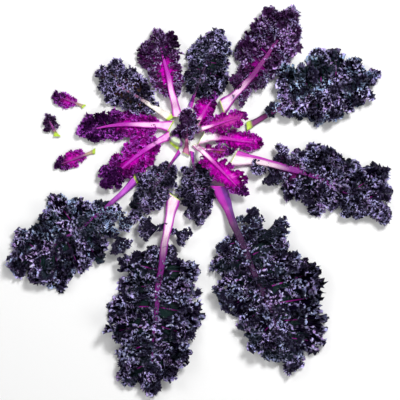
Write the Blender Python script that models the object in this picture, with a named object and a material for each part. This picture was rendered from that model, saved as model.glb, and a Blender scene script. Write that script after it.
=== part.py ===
"""A purple curly kale bunch, taken apart leaf by leaf and laid out in a rosette on a flat surface.

Units are metres and +Z is up. The surface is the plane z = 0 and the origin is the middle of the
rosette on it. Every leaf is two solids: a stalk, which is the petiole and the midrib in one taper,
and a blade, one lobed and crimped sheet that passes under the midrib. A leaf is first worked out
straight, x along its midrib from the cut end, y to its left and z up, and is then bent along its
own curve on the surface.
"""

from collections import namedtuple
import math

import bmesh
import bpy
import numpy as np

# The leaves' plan points are shifted by this, so that the origin is the middle of the finished bunch.
PLAN_SHIFT = (-0.0016, 0.0022)

# The sheet of a blade.
SHEET_THICK = {"large": 0.0014, "middle": 0.0012, "small": 0.0009}
SURFACE_GAP = 0.0002
SEAT_GAP = 0.0005
SINUS_DEPTH = 0.50
SINUS_SHARPNESS = 4
ROOT_ANGLE = math.radians(104)
LAST_ANGLE = math.radians(50)
FAN_POWER = 0.7
END_SHIFT = 0.30
RIB_LEVEL = 0.36
DROOP = math.radians(-15)
ROLL = math.radians(125)
ROLL_START = 0.30
LOBE_ROLLS = (0.10, 0.60, 0.24, 0.76, 0.16, 0.68, 0.34)
END_ROLL = 0.45
SINUS_ROLL = 0.30
LOBE_SWAY = 0.14
LOBES_PER_SWAY = 1.3
CRIMP = 0.12
CRIMPS_PER_LOBE = 2
LARGEST_WAVE = 0.55
TOOTH = 0.04

# Rows of a blade from the midrib out to the margin, and the columns of each row in one lobe. They
# are even, so that half of them make the end lobe's two halves.
ROW_SHARES = (0.0, 0.42, 0.78, 1.0)
ROW_COLUMNS = {"large": (2, 4, 8, 8), "middle": (2, 2, 6, 6), "small": (2, 2, 4, 4)}

# A stalk: its stations as shares of its length, and the shape of its section.
STATIONS = (0.0, 0.05, 0.12, 0.24, 0.42, 0.68, 1.0)
FLARE_LENGTH = 0.11
FOOT_HEIGHT = 0.60
RIB_HEIGHT = 0.55
END_TAPER = 0.16
RESTING_SHARE = 0.35
CLEAR_SHARE = 0.88
RIB_SHARE = 0.96
LEAST_STEP = 0.002
SECTION = (
    (0.0, 0.86),
    (-0.56, 1.0),
    (-1.0, 0.55),
    (-0.50, 0.0),
    (0.50, 0.0),
    (1.0, 0.55),
    (0.56, 1.0),
)

# base and tip are plan points. bow is how far the middle of the midrib swings to the leaf's left.
# start is where the blade begins, as a share of the length. left and right are its reach on each
# side at five even stations, end the reach of its end lobe, and lobes the lobes on each side of
# that one. height is the top of its frills and lift raises it over what it lies on. foot and neck
# are the stalk's widths at the cut and above its flare.
Leaf = namedtuple(
    "Leaf", "name kind base tip bow start left right end lobes height lift foot neck look"
)

# fmt: off
LEAVES = (
    Leaf("outer_left", "large", (-0.0806, 0.0283), (-0.2444, -0.0858), 0.0117, 0.27,
         (0.027, 0.049, 0.057, 0.059, 0.040), (0.022, 0.045, 0.056, 0.038, 0.042), 0.034,
         6, 0.030, 0.0, 0.0118, 0.0079, "dark"),
    Leaf("outer_bottom", "large", (-0.0312, 0.0052), (-0.0605, -0.2470), -0.0065, 0.25,
         (0.013, 0.052, 0.065, 0.058, 0.024), (0.013, 0.062, 0.070, 0.060, 0.043), 0.026,
         7, 0.032, 0.0, 0.0184, 0.0122, "dark"),
    Leaf("outer_bottom_right", "large", (0.0269, 0.0182), (0.1267, -0.2184), -0.0013, 0.26,
         (0.030, 0.070, 0.079, 0.078, 0.047), (0.030, 0.060, 0.060, 0.043, 0.033), 0.033,
         7, 0.032, 0.0, 0.0212, 0.0118, "dark"),
    Leaf("outer_right", "large", (0.0455, 0.0546), (0.2430, -0.0228), 0.0160, 0.27,
         (0.014, 0.038, 0.042, 0.053, 0.039), (0.014, 0.042, 0.043, 0.026, 0.013), 0.027,
         7, 0.030, 0.0, 0.0218, 0.0118, "dark"),
    Leaf("outer_upper_right", "large", (0.0637, 0.0962), (0.2340, 0.1603), 0.0078, 0.27,
         (0.010, 0.040, 0.058, 0.052, 0.032), (0.008, 0.026, 0.041, 0.040, 0.026), 0.031,
         6, 0.030, 0.0, 0.0104, 0.0074, "dark"),
    Leaf("outer_top", "large", (0.0312, 0.1209), (0.1222, 0.2444), -0.0078, 0.20,
         (0.018, 0.024, 0.042, 0.038, 0.026), (0.011, 0.020, 0.026, 0.026, 0.028), 0.020,
         6, 0.028, 0.0, 0.0190, 0.0112, "plum"),
    Leaf("upper_dark", "middle", (-0.0104, 0.1222), (0.0255, 0.2184), 0.0, 0.16,
         (0.011, 0.019, 0.023, 0.029, 0.025), (0.009, 0.033, 0.038, 0.030, 0.032), 0.022,
         5, 0.026, 0.0, 0.0065, 0.0046, "dark"),
    Leaf("upper_purple", "middle", (-0.0260, 0.1079), (-0.0533, 0.2188), 0.0, 0.24,
         (0.012, 0.021, 0.028, 0.038, 0.026), (0.010, 0.016, 0.020, 0.024, 0.024), 0.018,
         5, 0.024, 0.0, 0.0125, 0.0098, "plum"),
    Leaf("upper_left", "middle", (-0.0345, 0.1066), (-0.1289, 0.1650), 0.0, 0.22,
         (0.009, 0.017, 0.024, 0.027, 0.022), (0.010, 0.017, 0.026, 0.033, 0.024), 0.017,
         5, 0.024, 0.0, 0.0080, 0.0064, "dark"),
    Leaf("left_magenta", "middle", (-0.0351, 0.0962), (-0.1528, 0.0897), -0.0052, 0.16,
         (0.010, 0.015, 0.017, 0.016, 0.012), (0.010, 0.014, 0.018, 0.021, 0.015), 0.012,
         6, 0.020, 0.0, 0.0130, 0.0070, "magenta"),
    Leaf("left_low_magenta", "middle", (-0.0370, 0.0845), (-0.1222, 0.0178), -0.0052, 0.16,
         (0.012, 0.018, 0.019, 0.016, 0.008), (0.010, 0.015, 0.018, 0.022, 0.018), 0.015,
         5, 0.020, 0.0, 0.0094, 0.0062, "magenta"),
    Leaf("low_left_dark", "middle", (-0.0240, 0.0637), (-0.0832, -0.0220), 0.0, 0.20,
         (0.010, 0.018, 0.021, 0.018, 0.010), (0.011, 0.020, 0.025, 0.016, 0.016), 0.014,
         5, 0.022, 0.0, 0.0058, 0.0042, "dark"),
    Leaf("low_dark", "middle", (-0.0078, 0.0637), (0.0025, -0.0279), 0.0, 0.20,
         (0.011, 0.019, 0.023, 0.020, 0.017), (0.011, 0.019, 0.023, 0.020, 0.015), 0.012,
         5, 0.022, 0.0, 0.0052, 0.0039, "dark"),
    Leaf("heart_top", "small", (-0.0156, 0.0598), (-0.0130, 0.1157), 0.0, 0.36,
         (0.004, 0.007, 0.010, 0.011, 0.010), (0.006, 0.010, 0.012, 0.011, 0.010), 0.009,
         3, 0.012, 0.009, 0.0072, 0.0050, "plum"),
    Leaf("inner_top", "small", (-0.0052, 0.0943), (0.0230, 0.1391), 0.0, 0.14,
         (0.006, 0.011, 0.014, 0.013, 0.011), (0.006, 0.010, 0.011, 0.010, 0.008), 0.009,
         3, 0.012, 0.0, 0.0058, 0.0052, "magenta"),
    Leaf("inner_right_high", "small", (-0.0026, 0.0903), (0.0624, 0.1095), 0.0, 0.14,
         (0.006, 0.010, 0.013, 0.013, 0.010), (0.005, 0.010, 0.012, 0.011, 0.009), 0.009,
         3, 0.012, 0.0135, 0.0052, 0.0042, "magenta"),
    Leaf("inner_right", "small", (0.0065, 0.0845), (0.0832, 0.0741), 0.0, 0.14,
         (0.005, 0.009, 0.013, 0.014, 0.012), (0.004, 0.007, 0.010, 0.013, 0.011), 0.010,
         3, 0.013, 0.0, 0.0150, 0.0078, "magenta"),
    Leaf("inner_right_small", "small", (0.0039, 0.0663), (0.0442, 0.0645), 0.0, 0.16,
         (0.003, 0.004, 0.005, 0.005, 0.004), (0.004, 0.007, 0.008, 0.008, 0.006), 0.006,
         3, 0.009, 0.0, 0.0044, 0.0031, "magenta"),
    Leaf("inner_low_right", "small", (-0.0039, 0.0728), (0.0611, 0.0078), 0.0, 0.16,
         (0.004, 0.009, 0.015, 0.017, 0.013), (0.007, 0.012, 0.014, 0.013, 0.011), 0.012,
         3, 0.013, 0.013, 0.0052, 0.0044, "magenta"),
    Leaf("heart_bud", "small", (-0.0318, 0.0696), (-0.0253, 0.0923), 0.0, 0.34,
         (0.004, 0.006, 0.007, 0.007, 0.006), (0.004, 0.006, 0.007, 0.007, 0.006), 0.006,
         2, 0.009, 0.0, 0.0100, 0.0085, "plum"),
    Leaf("loose_upper", "small", (-0.1488, 0.1222), (-0.1872, 0.1378), 0.0, 0.28,
         (0.004, 0.007, 0.011, 0.011, 0.009), (0.004, 0.006, 0.007, 0.005, 0.004), 0.006,
         3, 0.008, 0.0, 0.0065, 0.0039, "magenta"),
    Leaf("loose_middle", "small", (-0.1846, 0.0832), (-0.1969, 0.1098), 0.0, 0.34,
         (0.005, 0.009, 0.010, 0.008, 0.005), (0.004, 0.007, 0.008, 0.006, 0.005), 0.005,
         2, 0.008, 0.0, 0.0091, 0.0058, "plum"),
    Leaf("loose_lower", "small", (-0.1346, 0.0643), (-0.1865, 0.0442), 0.0, 0.26,
         (0.004, 0.007, 0.009, 0.009, 0.006), (0.006, 0.011, 0.011, 0.009, 0.006), 0.007,
         3, 0.008, 0.0, 0.0072, 0.0044, "magenta"),
)
# fmt: on

# The colours of blades and stalks, and their roughness.
COLOURS = {
    "dark": (0.030, 0.012, 0.045),
    "plum": (0.085, 0.010, 0.090),
    "magenta": (0.260, 0.006, 0.210),
    "stalk": (0.560, 0.100, 0.480),
}
ROUGHNESS = 0.45


def clear_scene():
    for item in list(bpy.data.objects):
        bpy.data.objects.remove(item)


def material(name):
    """The plain coat of colour that all blades of one look, or all stalks, share."""
    found = bpy.data.materials.get(name)
    if found:
        return found
    made = bpy.data.materials.new(name)
    made.use_nodes = True
    shader = made.node_tree.nodes["Principled BSDF"]
    shader.inputs["Base Color"].default_value = (*COLOURS[name], 1.0)
    shader.inputs["Roughness"].default_value = ROUGHNESS
    shader.inputs["Metallic"].default_value = 0.0
    return made


class Midrib:
    """The curve in plan that a leaf's straight points are bent along."""

    SAMPLES = 200

    def __init__(self, leaf):
        base = np.array(leaf.base) + PLAN_SHIFT
        tip = np.array(leaf.tip) + PLAN_SHIFT
        along = tip - base
        left = np.array((-along[1], along[0])) / np.linalg.norm(along)
        pull = (base + tip) / 2 + 2 * leaf.bow * left
        t = np.linspace(0, 1, self.SAMPLES)[:, None]
        self.points = (1 - t) ** 2 * base + 2 * t * (1 - t) * pull + t**2 * tip
        steps = np.linalg.norm(np.diff(self.points, axis=0), axis=1)
        self.lengths = np.concatenate([[0], np.cumsum(steps)])
        self.length = self.lengths[-1]
        ways = np.gradient(self.points, self.lengths, axis=0)
        self.ways = ways / np.linalg.norm(ways, axis=1)[:, None]

    def bend(self, straight):
        """Straight points, as rows of x, y and z, laid along the midrib."""
        x, y, z = np.asarray(straight, float).T
        place = [np.interp(x, self.lengths, self.points[:, k]) for k in (0, 1)]
        way = [np.interp(x, self.lengths, self.ways[:, k]) for k in (0, 1)]
        beyond = np.clip(x - self.length, 0, None)
        return np.column_stack(
            (
                place[0] + way[0] * beyond - way[1] * y,
                place[1] + way[1] * beyond + way[0] * y,
                z,
            )
        )


def rib_level(leaf):
    return leaf.lift + RIB_LEVEL * leaf.height


def rolled_ray(roll, share):
    """How far out and up a ray of length one has come at a share of it, and its tilt there."""
    if share == 0:
        return 0.0, 0.0, DROOP
    steps = (np.arange(8) + 0.5) * share / 8
    curl = np.clip((steps - ROLL_START) / (1 - ROLL_START), 0, 1) ** 1.4
    tilts = DROOP * np.minimum(1, steps / 0.3) + roll * ROLL * curl
    return share * np.cos(tilts).mean(), share * np.sin(tilts).mean(), tilts[-1]


def lobe_roll(leaf, side, lobe):
    """How far a lobe rolls up, which differs from each lobe to the next."""
    if lobe == leaf.lobes:
        return END_ROLL
    return LOBE_ROLLS[(lobe * (2 if side > 0 else 3) + len(leaf.name)) % len(LOBE_ROLLS)]


def sheet_point(leaf, length, side, phase, share, column):
    """A point of the straight blade. phase counts lobes from the base, share runs to the margin."""
    lobe = min(int(phase), leaf.lobes)
    across = 2 * (phase - lobe) - 1
    s = min(1, phase / leaf.lobes)
    into_end = max(0, 2 * (phase - leaf.lobes))
    end_shift = END_SHIFT * leaf.end * into_end
    reaches = leaf.left if side > 0 else leaf.right
    reach = np.interp(s, np.linspace(0, 1, len(reaches)), reaches)
    reach += (leaf.end - end_shift - reach) * into_end
    angle = LAST_ANGLE + (ROOT_ANGLE - LAST_ANGLE) * (1 - s) ** FAN_POWER
    angle *= 1 - into_end
    roll = lobe_roll(leaf, side, lobe)
    roll += (SINUS_ROLL - roll) * across**2
    ray = reach * (1 - SINUS_DEPTH * abs(across) ** SINUS_SHARPNESS) / rolled_ray(roll, 1)[0]
    ray *= 1 + TOOTH * share**3 * (1 if column % 2 else -1)
    wave = LOBE_SWAY * share * math.sin(2 * math.pi * phase / LOBES_PER_SWAY + side)
    wave += CRIMP * share**2 * math.cos(2 * math.pi * CRIMPS_PER_LOBE * phase)
    wave *= min(leaf.height, LARGEST_WAVE * ray)
    out, up, tilt = rolled_ray(roll, share)
    out = out * ray - wave * math.sin(tilt)
    up = up * ray + wave * math.cos(tilt)
    start = leaf.start * length
    root = start + (length - leaf.end - start) * s + end_shift
    lowest = leaf.lift + SURFACE_GAP + SHEET_THICK[leaf.kind] / 2
    return (
        root + out * math.cos(angle),
        side * out * math.sin(angle),
        max(rib_level(leaf) + up, lowest),
    )


def sheet_row(leaf, length, side, share, columns):
    """One side's row of points, from the blade's base to its tip."""
    count = int((leaf.lobes + 0.5) * columns)
    return [sheet_point(leaf, length, side, k / columns, share, k) for k in range(count + 1)]


def strip_triangles(inner, outer):
    """Triangles between two rows, the outer one with a whole multiple of the inner one's steps."""
    each = (len(outer) - 1) // (len(inner) - 1)
    triangles = []
    for k in range(len(inner) - 1):
        first = k * each
        middle = first + (each + 1) // 2
        for j in range(first, first + each):
            owner = inner[k] if j < middle else inner[k + 1]
            triangles.append((owner, outer[j + 1], outer[j]))
        triangles.append((inner[k], inner[k + 1], outer[middle]))
    return triangles


def build_blade(leaf, midrib, collection):
    """One closed sheet: its two faces are split alike, and each point is pushed out both ways."""
    mesh = bmesh.new()
    rows = []
    for share, columns in zip(ROW_SHARES, ROW_COLUMNS[leaf.kind]):
        left = sheet_row(leaf, midrib.length, 1, share, columns)
        row = [mesh.verts.new(point) for point in midrib.bend(left)]
        if share == 0:
            row += row[-2::-1]
        else:
            right = sheet_row(leaf, midrib.length, -1, share, columns)[-2::-1]
            row += [mesh.verts.new(point) for point in midrib.bend(right)]
        rows.append(row)
    for inner, outer in zip(rows, rows[1:]):
        for corners in strip_triangles(inner, outer):
            mesh.faces.new(corners)
    mesh.normal_update()
    ways = {vert: vert.normal.copy() for vert in mesh.verts}
    rim = []
    for edge in mesh.edges:
        if edge.is_boundary:
            loop = edge.link_loops[0]
            rim.append((loop.vert, loop.link_loop_next.vert))
    made = bmesh.ops.duplicate(mesh, geom=mesh.verts[:] + mesh.edges[:] + mesh.faces[:])
    twin = {vert: made["vert_map"][vert] for vert in ways}
    below = [face for face in made["geom"] if isinstance(face, bmesh.types.BMFace)]
    bmesh.ops.reverse_faces(mesh, faces=below)
    for first, second in rim:
        mesh.faces.new((second, first, twin[first], twin[second]))
    for vert, way in ways.items():
        step = way * SHEET_THICK[leaf.kind] / 2
        twin[vert].co = vert.co - step
        vert.co = vert.co + step
    return finish(mesh, leaf.name + "_blade", leaf.look, collection)


def stalk_half_width(leaf, share):
    """Flared at the cut and tapered to the midrib's end."""
    flare = math.exp(-((share / FLARE_LENGTH) ** 2))
    body = leaf.neck * (1 - (1 - END_TAPER) * share**1.2)
    return (body + (leaf.foot - leaf.neck) * flare) / 2


def build_stalk(leaf, midrib, collection):
    """A loft from the cut end, which rests on the surface, to where the midrib fades in the blade."""
    start = leaf.start * midrib.length
    reach = start + RIB_SHARE * (midrib.length - leaf.end - start)
    seat = rib_level(leaf) + SHEET_THICK[leaf.kind] / 2 + SEAT_GAP
    rise_from = RESTING_SHARE * start
    rise_to = CLEAR_SHARE * start
    stations = [share * reach for share in STATIONS]
    stations = [x for x in stations if min(abs(x - rise_from), abs(x - rise_to)) > LEAST_STEP]
    stations = sorted(stations + [rise_from, rise_to])
    rings = []
    for x in stations:
        half_width = stalk_half_width(leaf, x / reach)
        risen = min(1, max(0, (x - rise_from) / (rise_to - rise_from)))
        height = 2 * half_width * (FOOT_HEIGHT + (RIB_HEIGHT - FOOT_HEIGHT) * risen)
        rings.append([(x, a * half_width, seat * risen + b * height) for a, b in SECTION])
    mesh = bmesh.new()
    loops = [[mesh.verts.new(point) for point in midrib.bend(ring)] for ring in rings]
    for near, far in zip(loops, loops[1:]):
        for k in range(len(SECTION)):
            n = (k + 1) % len(SECTION)
            mesh.faces.new((near[k], near[n], far[n], far[k]))
    # The ends are fans from the groove's point, which every other point of a section can see.
    for k in range(1, len(SECTION) - 1):
        mesh.faces.new((loops[0][0], loops[0][k + 1], loops[0][k]))
        mesh.faces.new((loops[-1][0], loops[-1][k], loops[-1][k + 1]))
    return finish(mesh, leaf.name + "_stalk", "stalk", collection)


def finish(mesh, name, look, collection):
    """Makes an object of a closed bmesh, with its triangles settled."""
    bmesh.ops.triangulate(mesh, faces=mesh.faces)
    data = bpy.data.meshes.new(name)
    mesh.to_mesh(data)
    mesh.free()
    data.materials.append(material(look))
    made = bpy.data.objects.new(name, data)
    collection.objects.link(made)
    return made


def main():
    clear_scene()
    bunch = bpy.data.collections.new("purple_kale_bunch")
    bpy.context.scene.collection.children.link(bunch)
    for leaf in LEAVES:
        midrib = Midrib(leaf)
        build_stalk(leaf, midrib, bunch)
        build_blade(leaf, midrib, bunch)


main()
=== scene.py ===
from collections import namedtuple
import math

import bpy
from bpy.props import FloatProperty, FloatVectorProperty, PointerProperty
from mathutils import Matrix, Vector
import numpy as np


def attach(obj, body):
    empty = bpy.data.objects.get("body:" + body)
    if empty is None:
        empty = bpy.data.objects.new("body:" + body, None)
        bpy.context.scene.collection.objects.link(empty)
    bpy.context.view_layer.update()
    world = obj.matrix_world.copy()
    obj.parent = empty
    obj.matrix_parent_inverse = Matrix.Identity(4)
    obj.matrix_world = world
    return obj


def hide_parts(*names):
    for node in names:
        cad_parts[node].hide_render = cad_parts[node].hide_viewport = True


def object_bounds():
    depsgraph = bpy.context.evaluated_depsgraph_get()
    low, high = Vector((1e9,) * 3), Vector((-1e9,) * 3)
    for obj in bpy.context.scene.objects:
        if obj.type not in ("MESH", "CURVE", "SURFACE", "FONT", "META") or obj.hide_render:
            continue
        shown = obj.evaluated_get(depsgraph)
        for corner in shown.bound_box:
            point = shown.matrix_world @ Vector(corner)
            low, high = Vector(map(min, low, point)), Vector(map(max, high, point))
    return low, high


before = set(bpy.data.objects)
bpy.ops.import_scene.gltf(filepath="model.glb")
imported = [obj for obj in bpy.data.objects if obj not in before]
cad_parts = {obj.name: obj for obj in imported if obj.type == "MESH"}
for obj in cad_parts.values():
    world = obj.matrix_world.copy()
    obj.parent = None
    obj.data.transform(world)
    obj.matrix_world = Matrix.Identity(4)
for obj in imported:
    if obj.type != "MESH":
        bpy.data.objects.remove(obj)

bl_info = {
    "name": "Purple kale bunch",
    "version": (1, 0, 0),
    "blender": (4, 5, 0),
    "location": "3D View > Sidebar > Kale",
    "description": "Builds the finished leaves, stalks and stage of a purple curly kale bunch",
    "category": "Add Mesh",
}

CAD_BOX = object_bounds()

# The shape that the blades share with the part: how rays fan out from the midrib and roll up.
PLAN_SHIFT = (-0.0016, 0.0022)
ROOT_ANGLE = math.radians(104)
LAST_ANGLE = math.radians(50)
FAN_POWER = 0.7
END_SHIFT = 0.30
RIB_LEVEL = 0.36
DROOP = math.radians(-15)
ROLL = math.radians(125)
ROLL_START = 0.30
LOBE_ROLLS = (0.10, 0.60, 0.24, 0.76, 0.16, 0.68, 0.34)
END_ROLL = 0.45
SINUS_ROLL = 0.30
LOBE_SWAY = 0.14
LOBES_PER_SWAY = 1.3
SHEET_THICK = {"large": 0.0014, "middle": 0.0012, "small": 0.0009}
SEAT_GAP = 0.0005
FLARE_LENGTH = 0.11
FOOT_HEIGHT = 0.60
RIB_HEIGHT = 0.55
END_TAPER = 0.16
RESTING_SHARE = 0.35
CLEAR_SHARE = 0.88
RIB_SHARE = 0.96

# Rows of a blade from the midrib out, and how many of the margin's columns each row skips over.
ROW_SHARES = (0.0, 0.1, 0.2, 0.32, 0.44, 0.55, 0.65, 0.74, 0.82, 0.89, 0.95, 1.0)
ROW_STEPS = (8, 8, 8, 4, 4, 4, 2, 2, 2, 1, 1, 1)
COLUMNS = {"large": 1280, "middle": 768, "small": 320}
LOBE_GATHER = {"large": 0.60, "middle": 0.35, "small": 0.15}
LOBE_SPREAD = {"large": math.radians(24), "middle": math.radians(18), "small": math.radians(12)}
SINUS_SHARES = {"large": 0.94, "middle": 0.72, "small": 0.42}
SINUS_POWERS = {"large": 2.6, "middle": 3.0, "small": 3.5}
SHEET_REACH = {"large": 0.95, "middle": 0.96, "small": 1.0}
BULGE = {"large": 0.12, "middle": 0.07, "small": 0.03}
CURLS = {"large": 320, "middle": 270, "small": 60}
CURL_SIZES = {"large": 1.0, "middle": 0.56, "small": 0.36}
CURL_WAVES = {"large": 6, "middle": 4, "small": 4}
CURL_ROWS = (0.12, 0.50, 0.80, 1.0)
LOBULE_ROWS = (0.04, 0.2, 0.4, 0.58, 0.74, 0.88, 1.0)
LOBULE_COLUMNS = 48

# How a ray of a blade is stepped out, over which share of it droops and how evenly it rolls up.
RAY_STEPS = 60
DROOP_SHARE = 0.3
ROLL_POWER = 1.4

# The margin: a blade's reach at its base, the lobes to a bulge, how lobes and gaps vary, the nicks
# inside each lobe, the scale of the waves and the columns to a tooth.
BASE_REACH = 0.45
BULGE_LOBES = 2.6
LOBE_STRETCH = (0.90, 1.07)
GAP_DEPTHS = (0.8, 1.08)
NICK_DEPTH = 0.15
WAVE_SCALES = {"large": 1.0, "middle": 0.8, "small": 0.55}
TOOTH_COLUMNS = 4

# Curls: the ranges of their sizes, cones, spreads and waves, the most that they lean, the share
# that lies over the hidden midrib, and how far the others keep to the middles of the lobes.
CURL_SIZE_RANGE = (0.7, 1.2)
CURL_CONES = (0.55, 1.25)
CURL_SPREADS = (1.2, 2.6)
CURL_WAVE_RANGE = (0.7, 1.3)
CURL_LEAN = 0.95
INNER_CURLS = 0.36
INNER_PLACES = (0.04, 0.34)
CURL_CLUSTER = 0.31
CURL_MARGIN = 0.62

# Lobules: the fan, its cone, spread and waves, all but the angles as shares of the radius, and the
# size of its curls, how many it has and how many stand beside the strip that holds it.
LOBULE_FAN = 1.9
LOBULE_CONE = 1.2
LOBULE_SPREAD = 0.72
LOBULE_WAVE = 0.34
LOBULE_MARGIN = 0.42
LOBULE_CURL_SIZE = 0.44
LOBULE_CURLS = (16, 1700)
STRIP_CURLS = 6
STRIP_SIDES = 7

# Stalks: rings and their spacing, corners of each ring, the groove's depth and width, the ribs and
# folds of the skin, the slant of the foot, the rings of the cut face, and the least green that
# shows on its edge.
STALK_RINGS = 44
RING_SPACING = 1.25
STALK_SIDES = 20
GROOVE = (0.16, 0.42)
RIBS = (0.025, 7)
FOLDS = (0.35, 6, 420)
FOOT_SLANT = (0.22, 1.6)
CUT_RINGS = (1.0, 0.82, 0.4)
GREEN_LEAST = 0.001

# Fine relief of the tissue and the skin, and the pith of a cut end.
RELIEF_STRENGTH = 0.5
TISSUE_RELIEF = 0.0008
SKIN_RELIEF = 0.0009
PITH = (0.72, 0.74, 0.50)

# The stage: the floor, what the camera looks at, and each light's azimuth in degrees, its share of
# the power, its width and its height.
FLOOR_HALF = 4.0
FLOOR_LEVEL = -0.0002
FLOOR_COLOUR = (0.84, 0.84, 0.84, 1.0)
VIEW_CENTRE = (0.0010, 0.0022)
VIEW_LEVEL = 0.015
LIGHTS = (
    ("key", 55, 1.45, 0.40, 1.4),
    ("left_fill", 145, 0.30, 0.8, 1.05),
    ("front_fill", 235, 0.18, 0.8, 1.05),
    ("right_fill", 325, 0.30, 0.8, 1.05),
)

Leaf = namedtuple(
    "Leaf", "name kind base tip bow start left right end lobes height lift foot neck look"
)

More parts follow.
